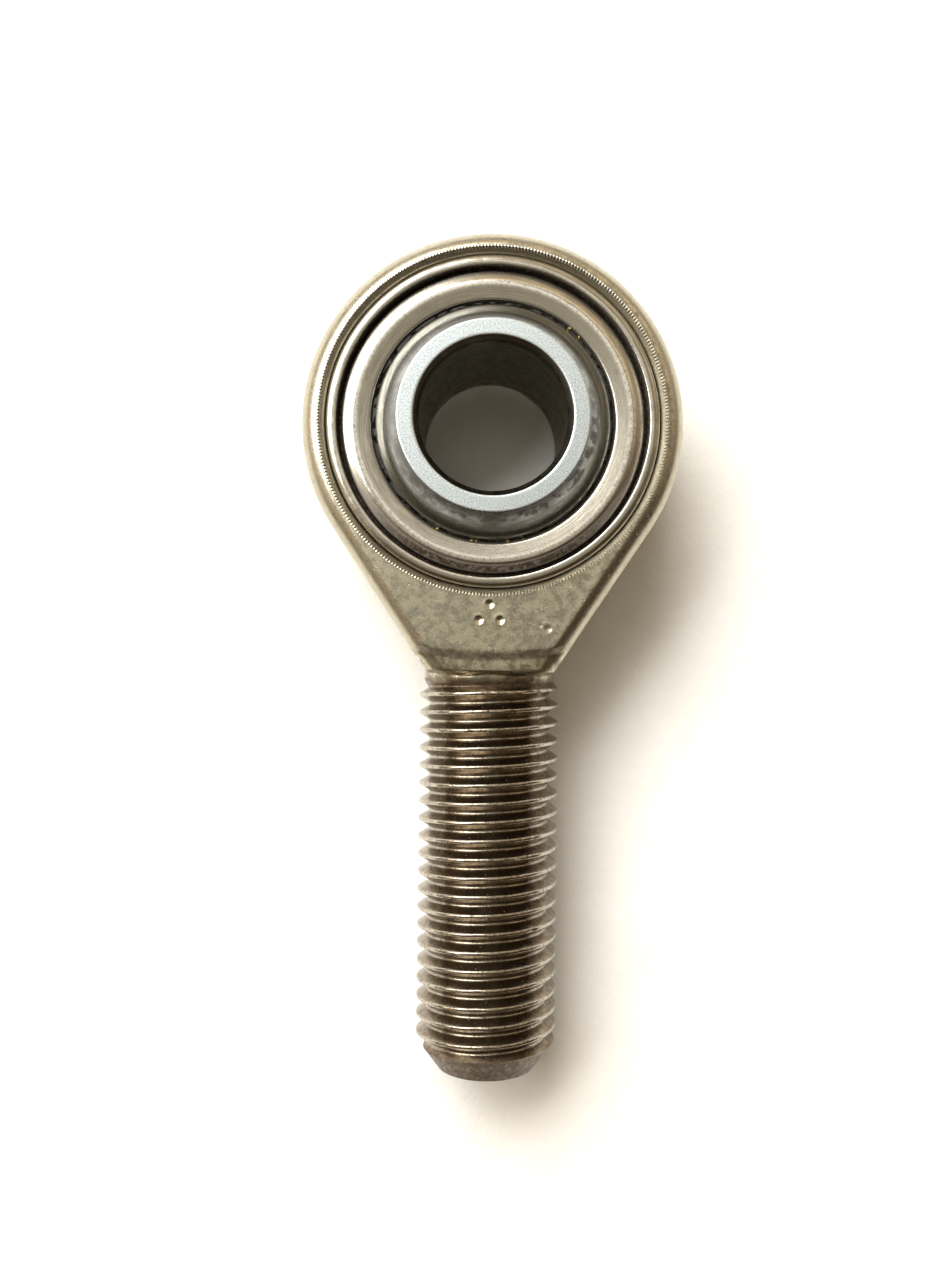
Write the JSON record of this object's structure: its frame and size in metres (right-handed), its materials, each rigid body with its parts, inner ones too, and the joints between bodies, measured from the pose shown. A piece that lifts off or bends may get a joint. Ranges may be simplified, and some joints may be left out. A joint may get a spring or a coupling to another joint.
{
  "type": "rod end bearing",
  "caption": "Male rod end: a forged steel eye on a threaded shank holds a staked race with a fabric-lined, self-aligning truncated ball and a through bore.",
  "frame": {"origin": "centre of the ball, on the axis of its bore", "axes": "+Z along the ball's bore, towards the marked face of the head; -Y along the shank, towards its threaded end; +X to the right of the shank axis seen from +Z with the shank down"},
  "size_m": [0.0316, 0.0698, 0.016],
  "materials": {
    "body_steel": "satin, fine-grained forged and plated steel with a warm grey-olive tone",
    "race_steel": "fine-turned, satin",
    "liner_fabric": "woven, matt, dark brown",
    "ball_steel": "polished sphere, ground side faces"
  },
  "bodies": {
    "housing": {"rod_end_body": "body_steel", "outer_race": "race_steel"},
    "swivel_lining": {"liner": "liner_fabric"},
    "inner_ball": {"ball": "ball_steel"}
  },
  "joints": [
    {"name": "ball_turn", "type": "hinge", "parent": "housing", "child": "swivel_lining", "pos_m": [0, 0, 0], "axis": [0, 0, 1], "continuous": true},
    {"name": "ball_tilt", "type": "hinge", "parent": "swivel_lining", "child": "inner_ball", "pos_m": [0, 0, 0], "axis": [0, 1, 0], "range_deg": [-13, 13]}
  ]
}
